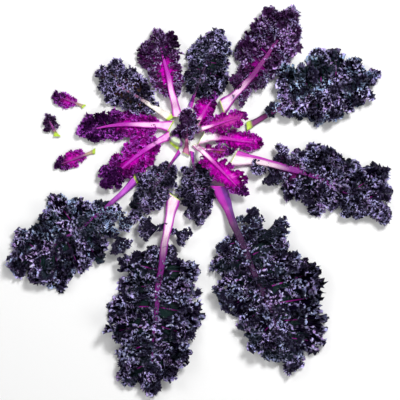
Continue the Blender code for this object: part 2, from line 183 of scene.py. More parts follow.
# fmt: off
LEAVES = (
    Leaf("outer_left", "large", (-0.0806, 0.0283), (-0.2444, -0.0858), 0.0117, 0.27,
         (0.027, 0.049, 0.057, 0.059, 0.040), (0.022, 0.045, 0.056, 0.038, 0.042), 0.034,
         6, 0.030, 0.0, 0.0118, 0.0079, "dark"),
    Leaf("outer_bottom", "large", (-0.0312, 0.0052), (-0.0605, -0.2470), -0.0065, 0.25,
         (0.013, 0.052, 0.065, 0.058, 0.024), (0.013, 0.062, 0.070, 0.060, 0.043), 0.026,
         7, 0.032, 0.0, 0.0184, 0.0122, "dark"),
    Leaf("outer_bottom_right", "large", (0.0269, 0.0182), (0.1267, -0.2184), -0.0013, 0.26,
         (0.030, 0.070, 0.079, 0.078, 0.047), (0.030, 0.060, 0.060, 0.043, 0.033), 0.033,
         7, 0.032, 0.0, 0.0212, 0.0118, "dark"),
    Leaf("outer_right", "large", (0.0455, 0.0546), (0.2430, -0.0228), 0.0160, 0.27,
         (0.014, 0.038, 0.042, 0.053, 0.039), (0.014, 0.042, 0.043, 0.026, 0.013), 0.027,
         7, 0.030, 0.0, 0.0218, 0.0118, "dark"),
    Leaf("outer_upper_right", "large", (0.0637, 0.0962), (0.2340, 0.1603), 0.0078, 0.27,
         (0.010, 0.040, 0.058, 0.052, 0.032), (0.008, 0.026, 0.041, 0.040, 0.026), 0.031,
         6, 0.030, 0.0, 0.0104, 0.0074, "dark"),
    Leaf("outer_top", "large", (0.0312, 0.1209), (0.1222, 0.2444), -0.0078, 0.20,
         (0.018, 0.024, 0.042, 0.038, 0.026), (0.011, 0.020, 0.026, 0.026, 0.028), 0.020,
         6, 0.028, 0.0, 0.0190, 0.0112, "plum"),
    Leaf("upper_dark", "middle", (-0.0104, 0.1222), (0.0255, 0.2184), 0.0, 0.16,
         (0.011, 0.019, 0.023, 0.029, 0.025), (0.009, 0.033, 0.038, 0.030, 0.032), 0.022,
         5, 0.026, 0.0, 0.0065, 0.0046, "dark"),
    Leaf("upper_purple", "middle", (-0.0260, 0.1079), (-0.0533, 0.2188), 0.0, 0.24,
         (0.012, 0.021, 0.028, 0.038, 0.026), (0.010, 0.016, 0.020, 0.024, 0.024), 0.018,
         5, 0.024, 0.0, 0.0125, 0.0098, "plum"),
    Leaf("upper_left", "middle", (-0.0345, 0.1066), (-0.1289, 0.1650), 0.0, 0.22,
         (0.009, 0.017, 0.024, 0.027, 0.022), (0.010, 0.017, 0.026, 0.033, 0.024), 0.017,
         5, 0.024, 0.0, 0.0080, 0.0064, "dark"),
    Leaf("left_magenta", "middle", (-0.0351, 0.0962), (-0.1528, 0.0897), -0.0052, 0.16,
         (0.010, 0.015, 0.017, 0.016, 0.012), (0.010, 0.014, 0.018, 0.021, 0.015), 0.012,
         6, 0.020, 0.0, 0.0130, 0.0070, "magenta"),
    Leaf("left_low_magenta", "middle", (-0.0370, 0.0845), (-0.1222, 0.0178), -0.0052, 0.16,
         (0.012, 0.018, 0.019, 0.016, 0.008), (0.010, 0.015, 0.018, 0.022, 0.018), 0.015,
         5, 0.020, 0.0, 0.0094, 0.0062, "magenta"),
    Leaf("low_left_dark", "middle", (-0.0240, 0.0637), (-0.0832, -0.0220), 0.0, 0.20,
         (0.010, 0.018, 0.021, 0.018, 0.010), (0.011, 0.020, 0.025, 0.016, 0.016), 0.014,
         5, 0.022, 0.0, 0.0058, 0.0042, "dark"),
    Leaf("low_dark", "middle", (-0.0078, 0.0637), (0.0025, -0.0279), 0.0, 0.20,
         (0.011, 0.019, 0.023, 0.020, 0.017), (0.011, 0.019, 0.023, 0.020, 0.015), 0.012,
         5, 0.022, 0.0, 0.0052, 0.0039, "dark"),
    Leaf("heart_top", "small", (-0.0156, 0.0598), (-0.0130, 0.1157), 0.0, 0.36,
         (0.004, 0.007, 0.010, 0.011, 0.010), (0.006, 0.010, 0.012, 0.011, 0.010), 0.009,
         3, 0.012, 0.009, 0.0072, 0.0050, "plum"),
    Leaf("inner_top", "small", (-0.0052, 0.0943), (0.0230, 0.1391), 0.0, 0.14,
         (0.006, 0.011, 0.014, 0.013, 0.011), (0.006, 0.010, 0.011, 0.010, 0.008), 0.009,
         3, 0.012, 0.0, 0.0058, 0.0052, "magenta"),
    Leaf("inner_right_high", "small", (-0.0026, 0.0903), (0.0624, 0.1095), 0.0, 0.14,
         (0.006, 0.010, 0.013, 0.013, 0.010), (0.005, 0.010, 0.012, 0.011, 0.009), 0.009,
         3, 0.012, 0.0135, 0.0052, 0.0042, "magenta"),
    Leaf("inner_right", "small", (0.0065, 0.0845), (0.0832, 0.0741), 0.0, 0.14,
         (0.005, 0.009, 0.013, 0.014, 0.012), (0.004, 0.007, 0.010, 0.013, 0.011), 0.010,
         3, 0.013, 0.0, 0.0150, 0.0078, "magenta"),
    Leaf("inner_right_small", "small", (0.0039, 0.0663), (0.0442, 0.0645), 0.0, 0.16,
         (0.003, 0.004, 0.005, 0.005, 0.004), (0.004, 0.007, 0.008, 0.008, 0.006), 0.006,
         3, 0.009, 0.0, 0.0044, 0.0031, "magenta"),
    Leaf("inner_low_right", "small", (-0.0039, 0.0728), (0.0611, 0.0078), 0.0, 0.16,
         (0.004, 0.009, 0.015, 0.017, 0.013), (0.007, 0.012, 0.014, 0.013, 0.011), 0.012,
         3, 0.013, 0.013, 0.0052, 0.0044, "magenta"),
    Leaf("heart_bud", "small", (-0.0318, 0.0696), (-0.0253, 0.0923), 0.0, 0.34,
         (0.004, 0.006, 0.007, 0.007, 0.006), (0.004, 0.006, 0.007, 0.007, 0.006), 0.006,
         2, 0.009, 0.0, 0.0100, 0.0085, "plum"),
    Leaf("loose_upper", "small", (-0.1488, 0.1222), (-0.1872, 0.1378), 0.0, 0.28,
         (0.004, 0.007, 0.011, 0.011, 0.009), (0.004, 0.006, 0.007, 0.005, 0.004), 0.006,
         3, 0.008, 0.0, 0.0065, 0.0039, "magenta"),
    Leaf("loose_middle", "small", (-0.1846, 0.0832), (-0.1969, 0.1098), 0.0, 0.34,
         (0.005, 0.009, 0.010, 0.008, 0.005), (0.004, 0.007, 0.008, 0.006, 0.005), 0.005,
         2, 0.008, 0.0, 0.0091, 0.0058, "plum"),
    Leaf("loose_lower", "small", (-0.1346, 0.0643), (-0.1865, 0.0442), 0.0, 0.26,
         (0.004, 0.007, 0.009, 0.009, 0.006), (0.006, 0.011, 0.011, 0.009, 0.006), 0.007,
         3, 0.008, 0.0, 0.0072, 0.0044, "magenta"),
)
# fmt: on

# rib names the stalk's skin. bare is the share of the blade over which its midrib shows, and blush
# the share to which bright tissue goes. wax is the share of teal in the blade and of pale blue in
# the painted edge highlights, which it also makes stronger, and green the length of yellow-green
# skin at the cut. taper counts the lobes over which the blade widens from its base, and olive is
# the share of brown-green tissue between the margin and the midrib.
Finish = namedtuple("Finish", "rib bare blush wax green taper olive")
FINISHES = {
    "outer_left": Finish("violet", -0.10, 0.05, 0.9, 0.0030, 2.4, 0.0),
    "outer_bottom": Finish("pale", 0.15, 0.14, 0.5, 0.0008, 1.2, 0.0),
    "outer_bottom_right": Finish("purple", -0.06, 0.12, 0.6, 0.0006, 1.2, 0.0),
    "outer_right": Finish("banded", 0.26, 0.30, 0.3, 0.0012, 1.6, 0.0),
    "outer_upper_right": Finish("dusk", -0.10, 0.0, 1.0, 0.0070, 1.2, 0.0),
    "outer_top": Finish("rosy", 0.66, 0.50, 0.5, 0.0012, 2.2, 0.0),
    "upper_dark": Finish("purple", 0.05, 0.08, 0.4, 0.0006, 1.0, 0.0),
    "upper_purple": Finish("pink", 0.60, 0.80, 0.1, 0.0006, 1.8, 0.0),
    "upper_left": Finish("cream", -0.10, 0.10, 0.0, 0.0055, 1.2, 0.5),
    "left_magenta": Finish("pink", 0.80, 0.66, 0.0, 0.0016, 1.0, 0.0),
    "left_low_magenta": Finish("hot", 0.74, 0.86, 0.0, 0.0006, 1.0, 0.0),
    "low_left_dark": Finish("purple", 0.05, 0.12, 0.0, 0.0006, 1.0, 0.0),
    "low_dark": Finish("purple", 0.15, 0.20, 0.0, 0.0006, 1.0, 0.0),
    "heart_top": Finish("rose", 0.30, 0.30, 0.5, 0.0006, 0.8, 0.0),
    "inner_top": Finish("white", 0.70, 0.90, 0.0, 0.0006, 0.5, 0.0),
    "inner_right_high": Finish("white", 0.90, 1.20, 0.0, 0.0006, 0.5, 0.55),
    "inner_right": Finish("folded", 0.90, 1.20, 0.0, 0.0006, 0.5, 0.0),
    "inner_right_small": Finish("white", 0.90, 1.00, 0.0, 0.0006, 0.5, 0.9),
    "inner_low_right": Finish("white", 0.90, 0.95, 0.0, 0.0006, 0.5, 0.1),
    "heart_bud": Finish("bud", 1.20, 0.20, 0.0, 0.0040, 1.6, 0.0),
    "loose_upper": Finish("green", 0.90, 0.80, 0.0, 0.0030, 0.5, 0.35),
    "loose_middle": Finish("green", 0.40, 0.30, 0.0, 0.0060, 0.5, 0.0),
    "loose_lower": Finish("green", 0.90, 0.80, 0.0, 0.0040, 0.5, 0.35),
}

# How many times as many curls some leaves have, and how many times as large theirs are.
CROWDING = {
    "heart_top": (1.5, 1.5),
    "heart_bud": (0.8, 1.0),
    "inner_top": (1.4, 1.2),
    "left_magenta": (1.3, 1.05),
    "left_low_magenta": (1.3, 1.05),
}

# Folded swellings of stalks: how far each stands out on either side, and its middle and spread as
# shares of the leaf.
SWELLINGS = {
    "upper_left": (0.0012, 0.12, 0.20),
    "upper_purple": (0.0008, 0.15, 0.35),
    "left_magenta": (0.0013, 0.20, 0.45),
    "left_low_magenta": (0.0012, 0.10, 0.45),
    "heart_top": (0.0010, 0.0, 0.30),
    "inner_top": (0.0017, 0.0, 0.45),
    "inner_right_high": (0.0012, 0.0, 0.40),
    "inner_right": (0.0060, -0.02, 0.22),
    "inner_low_right": (0.0014, 0.0, 0.50),
    "heart_bud": (0.0072, 0.34, 0.26),
}

# Each stalk's skin: its middle, its sides, its far end, the share where the far end begins, and
# how far the middle lies to one side.
STALK_SKINS = {
    "pale": ((0.98, 0.76, 0.84), (0.46, 0.02, 0.46), (0.14, 0.004, 0.15), 0.26, 0.0),
    "banded": ((0.98, 0.80, 0.87), (0.50, 0.03, 0.44), (0.20, 0.008, 0.22), 0.30, -0.30),
    "rosy": ((0.97, 0.62, 0.88), (0.34, 0.01, 0.34), (0.17, 0.003, 0.15), 0.30, 0.0),
    "pink": ((0.98, 0.58, 0.88), (0.56, 0.02, 0.50), (0.42, 0.012, 0.40), 0.46, 0.0),
    "hot": ((0.86, 0.36, 0.76), (0.52, 0.02, 0.48), (0.46, 0.01, 0.45), 0.30, 0.0),
    "violet": ((0.54, 0.08, 0.62), (0.20, 0.012, 0.27), (0.18, 0.012, 0.22), 0.22, -0.2),
    "purple": ((0.48, 0.02, 0.42), (0.17, 0.025, 0.30), (0.035, 0.002, 0.045), 0.17, -0.45),
    "dusk": ((0.20, 0.02, 0.16), (0.060, 0.006, 0.060), (0.03, 0.004, 0.04), 0.26, -0.1),
    "cream": ((0.95, 0.93, 0.86), (0.82, 0.76, 0.66), (0.20, 0.06, 0.15), 0.42, 0.0),
    "white": ((0.95, 0.76, 0.88), (0.72, 0.10, 0.56), (0.48, 0.008, 0.40), 0.34, 0.0),
    "folded": ((0.98, 0.92, 0.95), (0.86, 0.56, 0.76), (0.48, 0.008, 0.40), 0.26, 0.0),
    "rose": ((0.46, 0.14, 0.28), (0.30, 0.03, 0.19), (0.10, 0.008, 0.10), 0.45, 0.0),
    "green": ((0.42, 0.36, 0.20), (0.40, 0.18, 0.22), (0.26, 0.03, 0.24), 0.30, 0.0),
    "bud": ((0.66, 0.76, 0.54), (0.20, 0.04, 0.27), (0.14, 0.015, 0.20), 0.70, 0.0),
}

# Small leaves on the bare part of a stalk: the leaf, the middle in plan, the radius and waves.
LOBULES = (
    ("outer_bottom", (-0.0624, -0.0377), 0.0100, 5),
    ("outer_bottom", (-0.0221, -0.0455), 0.0080, 4),
    ("outer_bottom_right", (0.0700, -0.0240), 0.0110, 5),
    ("outer_bottom_right", (0.1014, -0.0455), 0.0170, 7),
    ("outer_left", (-0.1010, -0.0559), 0.0090, 5),
    ("outer_left", (-0.0936, -0.0280), 0.0070, 4),
    ("outer_left", (-0.1150, -0.0120), 0.0060, 4),
    ("outer_right", (0.0780, 0.0420), 0.0060, 4),
    ("outer_right", (0.0960, 0.0300), 0.0070, 4),
    ("outer_right", (0.1080, 0.0640), 0.0060, 4),
    ("outer_top", (0.0572, 0.1326), 0.0065, 4),
    ("outer_top", (0.0500, 0.1560), 0.0060, 4),
    ("outer_upper_right", (0.0960, 0.1180), 0.0060, 4),
)


def metres(name, description, default):
    return FloatProperty(name=name, description=description, default=default, unit="LENGTH")


def tint(name, description, default):
    return FloatVectorProperty(
        name=name, description=description, default=default, subtype="COLOR"
    )


class KaleFrills(bpy.types.PropertyGroup):
    """Sizes of the crimped margins."""

    sinus_depth: FloatProperty(
        name="Sinus depth", description="How deep the blade is cut between lobes", default=1.0
    )
    coarse_length: metres("Coarse wave", "Length of the margin's widest waves", 0.022)
    coarse_height: metres("Coarse height", "Height of the margin's widest waves", 0.0055)
    fine_length: metres("Fine wave", "Length of the margin's curled waves", 0.0080)
    fine_height: metres("Fine height", "Height of the margin's curled waves", 0.0026)
    crisp_length: metres("Crisp wave", "Length of the margin's smallest waves", 0.0042)
    crisp_height: metres("Crisp height", "Height of the margin's smallest waves", 0.0012)
    tooth: metres("Tooth", "Length of the pointed teeth on every margin", 0.0014)
    curl_radius: metres("Curl radius", "Radius of a large leaf's small frilled curls", 0.0100)
    curl_wave: metres("Curl wave", "Height of the waves round a curl's edge", 0.0028)


class KaleColours(bpy.types.PropertyGroup):
    """Colours of the leaf tissue, and of the highlights painted on its edges."""

    lamina: tint("Lamina", "Dark green blade between the frills", (0.005, 0.011, 0.009))
    # Painted highlight: near-white specular glints on the edges of the dark leaves.
    glint: tint("Glint", "Brightest waxy specks on the edges of dark leaves", (0.86, 0.90, 1.0))
    teal: tint("Teal", "Waxy blue-green blade of some dark leaves", (0.009, 0.024, 0.026))
    # Pale blue of the wax bloom, shown only as a tint of the painted edge highlights.
    bloom: tint("Bloom", "Pale blue wax on some of the dark frills", (0.38, 0.54, 0.84))
    dark: tint("Dark frill", "Blue-black frills of the dark leaves", (0.0025, 0.001, 0.008))
    # Painted highlight: lavender light painted along the margins and crests of the dark frills.
    dark_edge: tint("Dark edge", "Lavender edges of the dark leaves", (0.60, 0.50, 1.0))
    plum: tint("Plum frill", "Frills of the plum leaves", (0.026, 0.002, 0.034))
    # Painted highlight along the margins and crests of the plum frills.
    plum_edge: tint("Plum edge", "Edges of the plum leaves", (0.70, 0.42, 1.0))
    magenta: tint("Magenta frill", "Frills of the young leaves", (0.016, 0.001, 0.028))
    # Painted highlight along the margins and crests of the young leaves, also their painted
    # glints.
    magenta_edge: tint("Magenta edge", "Edges of the young leaves", (0.68, 0.12, 0.90))
    blush: tint(
        "Blush", "Bright tissue round the lower midrib of the young leaves",
        (0.56, 0.001, 0.45),
    )
    brown: tint("Brown", "Brown-green tissue of a few leaves", (0.20, 0.085, 0.050))
    vein: tint("Vein", "Side veins", (0.34, 0.006, 0.30))
    cut: tint("Cut", "Yellow-green rim of a cut end", (0.46, 0.66, 0.05))


class KaleStage(bpy.types.PropertyGroup):
    """Floor, camera and light."""

    view_width: metres("View width", "Width of what the camera sees at the leaves", 0.520)
    camera_height: metres("Camera height", "Height of the camera above the surface", 1.70)
    key_power: FloatProperty(
        name="Key power", description="Power of the large soft light in watts", default=19.0
    )
    world_strength: FloatProperty(
        name="World strength", description="Strength of the even light all round", default=0.09
    )


class Midrib:
    """The curve in plan that a leaf's straight points are bent along."""

    def __init__(self, leaf):
        base = np.array(leaf.base) + PLAN_SHIFT
        tip = np.array(leaf.tip) + PLAN_SHIFT
        along = tip - base
        left = np.array((-along[1], along[0])) / np.linalg.norm(along)
        pull = (base + tip) / 2 + 2 * leaf.bow * left
        t = np.linspace(0, 1, 200)[:, None]
        self.points = (1 - t) ** 2 * base + 2 * t * (1 - t) * pull + t**2 * tip
        steps = np.linalg.norm(np.diff(self.points, axis=0), axis=1)
        self.lengths = np.concatenate([[0], np.cumsum(steps)])
        self.length = self.lengths[-1]
        ways = np.gradient(self.points, self.lengths, axis=0)
        self.ways = ways / np.linalg.norm(ways, axis=1)[:, None]

    def bend(self, straight):
        """Straight points, with x, y and z last, laid along the midrib."""
        x, y, z = np.moveaxis(straight, -1, 0)
        place = [np.interp(x, self.lengths, self.points[:, k]) for k in (0, 1)]
        way = [np.interp(x, self.lengths, self.ways[:, k]) for k in (0, 1)]
        beyond = np.clip(x - self.length, 0, None) + np.clip(x, None, 0)
        return np.stack(
            (
                place[0] + way[0] * beyond - way[1] * y,
                place[1] + way[1] * beyond + way[0] * y,
                z,
            ),
            axis=-1,
        )


def rib_level(leaf):
    return leaf.lift + RIB_LEVEL * leaf.height


def unit(vectors):
    return vectors / (np.linalg.norm(vectors, axis=-1, keepdims=True) + 1e-12)


def smooth_noise(rng, x, wave, count=5):
    """A sum of a few sines of random lengths round the given one, about -1 to 1."""
    total = np.zeros_like(x)
    for _ in range(count):
        total += np.sin(2 * math.pi * (x / (wave * rng.uniform(0.6, 1.7)) + rng.random()))
    return total / count**0.5 * 0.8


def rolled_rays(roll, shares):
    """Rays of length one that droop and then roll up, as distances out and up, row by column."""
    count = RAY_STEPS
    middles = (np.arange(count) + 0.5) / count
    curl = np.clip((middles - ROLL_START) / (1 - ROLL_START), 0, 1) ** ROLL_POWER
    droop = DROOP * np.minimum(1, middles / DROOP_SHARE)
    tilts = droop[:, None] + roll[None, :] * ROLL * curl[:, None]
    out = np.vstack([np.zeros(len(roll)), np.cumsum(np.cos(tilts), axis=0) / count])
    up = np.vstack([np.zeros(len(roll)), np.cumsum(np.sin(tilts), axis=0) / count])
    at = np.array(shares) * count
    low = np.minimum(at.astype(int), count - 1)
    part = (at - low)[:, None]
    return (
        out[low] * (1 - part) + out[low + 1] * part,
        up[low] * (1 - part) + up[low + 1] * part,
    )


def ruffle(points, weights, wave, height, rng, scale):
    """Moves that wave a sheet across itself, counted along its margin to stay even there."""
    margin = points[-1]
    lengths = np.concatenate([[0], np.cumsum(np.linalg.norm(np.diff(margin, axis=0), axis=1))])
    turns = lengths / (wave * scale) + 0.45 * smooth_noise(rng, lengths, wave * scale * 3.5)
    phase = 2 * math.pi * turns[None, :]
    size = height * scale * (1 + 0.35 * smooth_noise(rng, lengths, wave * scale * 2.5))[None, :]
    along = unit(np.gradient(points, axis=1))
    outward = unit(np.gradient(points, axis=0))
    normal = unit(np.cross(along, outward))
    push = size * weights[:, None]
    moved = normal * (push * np.sin(phase))[..., None]
    return moved + along * (-0.35 * push * np.sin(2 * phase))[..., None], np.sin(phase[0])


def side_sheet(leaf, length, side, frills, rng):
    """One side of a straight blade as a grid of points, and its crest and lobe shares."""
    columns = COLUMNS[leaf.kind]
    phase = np.linspace(0, leaf.lobes + 0.5, columns + 1)
    lobe = np.minimum(phase.astype(int), leaf.lobes)
    across = 2 * (phase - lobe) - 1
    gathered = phase - LOBE_GATHER[leaf.kind] * across * (1 - across**2) / 2
    s = np.minimum(1, np.where(phase < leaf.lobes, gathered, phase) / leaf.lobes)
    into_end = np.clip(2 * (phase - leaf.lobes), 0, 1)
    end_shift = END_SHIFT * leaf.end * into_end
    reaches = leaf.left if side > 0 else leaf.right
    reach = np.interp(s, np.linspace(0, 1, len(reaches)), reaches)
    widened = np.clip(phase / FINISHES[leaf.name].taper, 0, 1)
    reach *= BASE_REACH + (1 - BASE_REACH) * widened**2 * (3 - 2 * widened)
    bulge = np.sin(2 * math.pi * (phase / BULGE_LOBES + rng.random())) * (1 - into_end)
    reach *= 1 + BULGE[leaf.kind] * bulge
    reach += (leaf.end - end_shift - reach) * into_end
    angle = LAST_ANGLE + (ROOT_ANGLE - LAST_ANGLE) * (1 - s) ** FAN_POWER
    angle *= 1 - into_end
    angle -= LOBE_SPREAD[leaf.kind] * across * (1 - across**8) * (lobe < leaf.lobes)
    steps = np.arange(leaf.lobes + 1) * (2 if side > 0 else 3) + len(leaf.name)
    rolls = np.array(LOBE_ROLLS)[steps % len(LOBE_ROLLS)]
    rolls[-1] = END_ROLL
    roll = rolls[lobe]
    roll = roll + (SINUS_ROLL - roll) * across**2
    stretch = rng.uniform(*LOBE_STRETCH, leaf.lobes + 1)[lobe]
    depths = frills.sinus_depth * SINUS_SHARES[leaf.kind]
    depths = depths * rng.uniform(*GAP_DEPTHS, leaf.lobes + 2)
    notch = depths[np.rint(phase).astype(int)] * np.abs(across) ** SINUS_POWERS[leaf.kind]
    notch += NICK_DEPTH * np.abs(np.sin(2.5 * math.pi * across)) ** 3 * (1 - across**4)
    shares = np.array(ROW_SHARES)
    full = rolled_rays(roll, (1.0,))[0][0]
    ray = SHEET_REACH[leaf.kind] * reach * (1 + (stretch - 1) * (1 - across**4))
    ray = ray * (1 - notch) / full
    out, up = rolled_rays(roll, shares)
    sway = LOBE_SWAY * np.sin(2 * math.pi * phase / LOBES_PER_SWAY + side)
    up = up * ray + np.minimum(leaf.height, 0.55 * ray) * sway * shares[:, None]
    out = out * ray
    start = leaf.start * length
    root = start + (length - leaf.end - start) * s + end_shift
    points = np.stack(
        (root + out * np.cos(angle), side * out * np.sin(angle), rib_level(leaf) + up), axis=-1
    )
    scale = WAVE_SCALES[leaf.kind]
    crest = np.zeros(columns + 1)
    for wave, height, power, share in (
        (frills.coarse_length, frills.coarse_height, 2, 0.0),
        (frills.fine_length, frills.fine_height, 4, 0.4),
        (frills.crisp_length, frills.crisp_height, 7, 0.6),
    ):
        moved, wavy = ruffle(points, shares**power, wave, height, rng, scale)
        points = points + moved
        crest += share * wavy
    outward = unit(points[-1] - points[-3])
    teeth = np.abs(np.sin(np.arange(columns + 1) * math.pi / TOOTH_COLUMNS)) ** 2
    points[-1] += outward * (frills.tooth * scale * teeth)[:, None]
    return points, crest, across


def fans(roots, axis, outward, radius, cone, spread, waves, height, shares, columns, rng):
    """Frilled fans that open like part of a cone round an axis, as one grid of points for each."""
    count = len(roots)
    shares = np.array(shares)[None, :, None]
    theta = spread[:, None, None] * np.linspace(-1, 1, columns + 1)[None, None, :]
    phase = math.pi * waves * np.linspace(-1, 1, columns + 1) + rng.uniform(0, 6.3, (count, 1, 1))
    phase = phase + 0.7 * np.sin(1.3 * theta + rng.uniform(0, 6.3, (count, 1, 1)))
    ragged = 1 + 0.16 * np.sin(1.7 * theta + rng.uniform(0, 6.3, (count, 1, 1)))
    teeth = np.clip(np.sin(phase + 0.4), 0, 1) ** 2 * shares**3
    teeth = 1 + teeth * 0.0028 / np.maximum(radius, 0.007)[:, None, None]
    reach = radius[:, None, None] * shares * ragged * teeth
    wave = height[:, None, None] * shares**1.4 * np.sin(phase)
    sideways = np.cross(axis, outward)
    around = (
        np.cos(theta)[..., None] * outward[:, None, None]
        + np.sin(theta)[..., None] * sideways[:, None, None]
    )
    tilt = cone[:, None, None] + 0.35 * (shares - 0.5)
    points = (
        roots[:, None, None]
        + (reach * np.cos(tilt) + wave * np.sin(tilt))[..., None] * axis[:, None, None]
        + (reach * np.sin(tilt) - wave * np.cos(tilt))[..., None] * around
    )
    return points, np.broadcast_to(np.sin(phase), points.shape[:-1])


def curls(roots, outward, normal, size, leans, turns, waves, frills, rng):
    """Many small fans of about one size, each leaning and opening in its own way."""
    count = len(roots)
    yaw = rng.uniform(-1, 1, count)[:, None] * turns[:, None]
    lean = rng.uniform(leans, CURL_LEAN, count)[:, None]
    along = unit(np.cross(normal, outward))
    way = outward * np.cos(yaw) + along * np.sin(yaw)
    axis = unit(normal * np.cos(lean) + way * np.sin(lean))
    way = unit(way - axis * (way * axis).sum(axis=-1, keepdims=True))
    return fans(
        roots, axis, way,
        frills.curl_radius * size * rng.uniform(*CURL_SIZE_RANGE, count),
        rng.uniform(*CURL_CONES, count),
        rng.uniform(*CURL_SPREADS, count),
        waves,
        frills.curl_wave * size * rng.uniform(*CURL_WAVE_RANGE, count),
        CURL_ROWS, 4 * waves, rng,
    )


def soft_floor(z, lowest, blend=0.0012):
    """Heights pressed smoothly above the lowest one."""
    return lowest + blend * np.logaddexp(0, (z - lowest) / blend)


def soft_ceiling(z, highest, blend=0.003):
    return highest - blend * np.logaddexp(0, (highest - z) / blend)


def strip_triangles(inner, outer, flip):
    """Triangles between two rows of vertex numbers, the outer one as dense or twice as dense."""
    each = (len(outer) - 1) // (len(inner) - 1)
    a, b = inner[:-1], inner[1:]
    if each == 1:
        groups = [(a, outer[1:], outer[:-1]), (a, b, outer[1:])]
    else:
        first, middle, last = outer[:-1:2], outer[1::2], outer[2::2]
        groups = [(a, middle, first), (a, b, middle), (b, last, middle)]
    faces = np.concatenate([np.stack(group, axis=-1) for group in groups])
    return faces[:, ::-1] if flip else faces


def grid_triangles(first, rows, columns, flip=False):
    """Triangles of a full grid whose vertices are numbered row by row."""
    numbers = first + np.arange(rows * columns).reshape(rows, columns)
    return np.concatenate(
        [strip_triangles(numbers[k], numbers[k + 1], flip) for k in range(rows - 1)]
    )


def mesh_object(name, points, faces, values, material, node):
    """A smooth mesh with one float attribute for each named list, in place of its CAD node."""
    mesh = bpy.data.meshes.new(name)
    mesh.from_pydata(points.tolist(), [], faces.tolist())
    mesh.shade_smooth()
    for key, numbers in values.items():
        layer = mesh.attributes.new(key, "FLOAT", "POINT")
        layer.data.foreach_set("value", np.ascontiguousarray(numbers, np.float32))
    mesh.materials.append(material)
    made = bpy.data.objects.new(name, mesh)
    bpy.context.scene.collection.objects.link(made)
    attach(made, "root")
    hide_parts(node)
    return made


class Patchwork:
    """Grids of points joined into one list, with their triangles and attribute values."""

    def __init__(self):
        self.points, self.faces, self.count = [], [], 0
        self.values = {"margin": [], "crest": [], "lobe": [], "along": []}

    def add(self, points, **values):
        """Points as rows of x, y, z and one number or list for each value; their first number."""
        first = self.count
        self.points.append(points.reshape(-1, 3))
        self.count += len(self.points[-1])
        for key, numbers in values.items():
            self.values[key].append(np.broadcast_to(numbers, points.shape[:-1]).reshape(-1))
        return first

    def add_fans(self, points, waves, shares, lowest_margin, along):
        count, rows, columns = points.shape[:3]
        shares = np.array(shares)[None, :, None]
        first = self.add(
            points,
            margin=lowest_margin + (1 - lowest_margin) * shares,
            crest=waves * shares,
            lobe=1.0,
            along=along,
        )
        pattern = grid_triangles(0, rows, columns)
        offsets = first + np.arange(count) * rows * columns
        self.faces.append((offsets[:, None, None] + pattern[None]).reshape(-1, 3))

    def finish(self, midrib, lowest, highest):
        """Everything bent along the midrib and kept between two heights."""
        points = midrib.bend(np.concatenate(self.points))
        points[:, 2] = soft_floor(points[:, 2], lowest)
        points[:, 2] = soft_ceiling(points[:, 2], highest)
        values = {key: np.concatenate(parts) for key, parts in self.values.items()}
        return points, np.concatenate(self.faces), values


def add_curls(work, leaf, grid, along, frills, rng):
    """Curls on the outer part of a side, and some that lean over the hidden part of the midrib."""
    finish = FINISHES[leaf.name]
    many, large = CROWDING.get(leaf.name, (1.0, 1.0))
    half = int(many * CURLS[leaf.kind] / 2)
    inner = int(half * INNER_CURLS * (1 - min(1, max(0, finish.bare))))
    crowded = rng.random(half)
    step = grid.shape[1] / (leaf.lobes + 0.5)
    place = rng.integers(0, leaf.lobes + 1, half) + 0.5 + CURL_CLUSTER * (2 * crowded - 1)
    column = (place * step).astype(int).clip(4, grid.shape[1] - 5)
    share = 0.90 - 0.56 * rng.random(half) ** 1.1
    hidden = np.flatnonzero(along > min(0.8, finish.bare))
    column[:inner] = rng.choice(hidden[(hidden > 4) & (hidden < grid.shape[1] - 4)], inner)
    share[:inner] = rng.uniform(*INNER_PLACES, inner)
    row = np.searchsorted(ROW_SHARES, share).clip(1, len(ROW_SHARES) - 1)
    roots = grid[row, column]
    outward = unit(grid[row, column] - grid[row - 1, column])
    normal = unit(np.cross(grid[row, column + 2] - grid[row, column - 2], outward))
    normal[normal[:, 2] < 0] *= -1
    outward[:inner] *= -1
    size = large * CURL_SIZES[leaf.kind] * (0.6 + 0.4 * share)
    leans, turns = np.full(half, -0.1), np.full(half, 1.3)
    size[:inner], leans[:inner], turns[:inner] = large * CURL_SIZES[leaf.kind], 0.35, 0.6
    size *= 0.6 + 0.4 * np.clip(along[column] * (leaf.lobes + 0.5) / finish.taper, 0, 1)
    waves = CURL_WAVES[leaf.kind]
    points, wavy = curls(roots, outward, normal, size, leans, turns, waves, frills, rng)
    work.add_fans(points, wavy, CURL_ROWS, CURL_MARGIN, along[column][:, None, None])


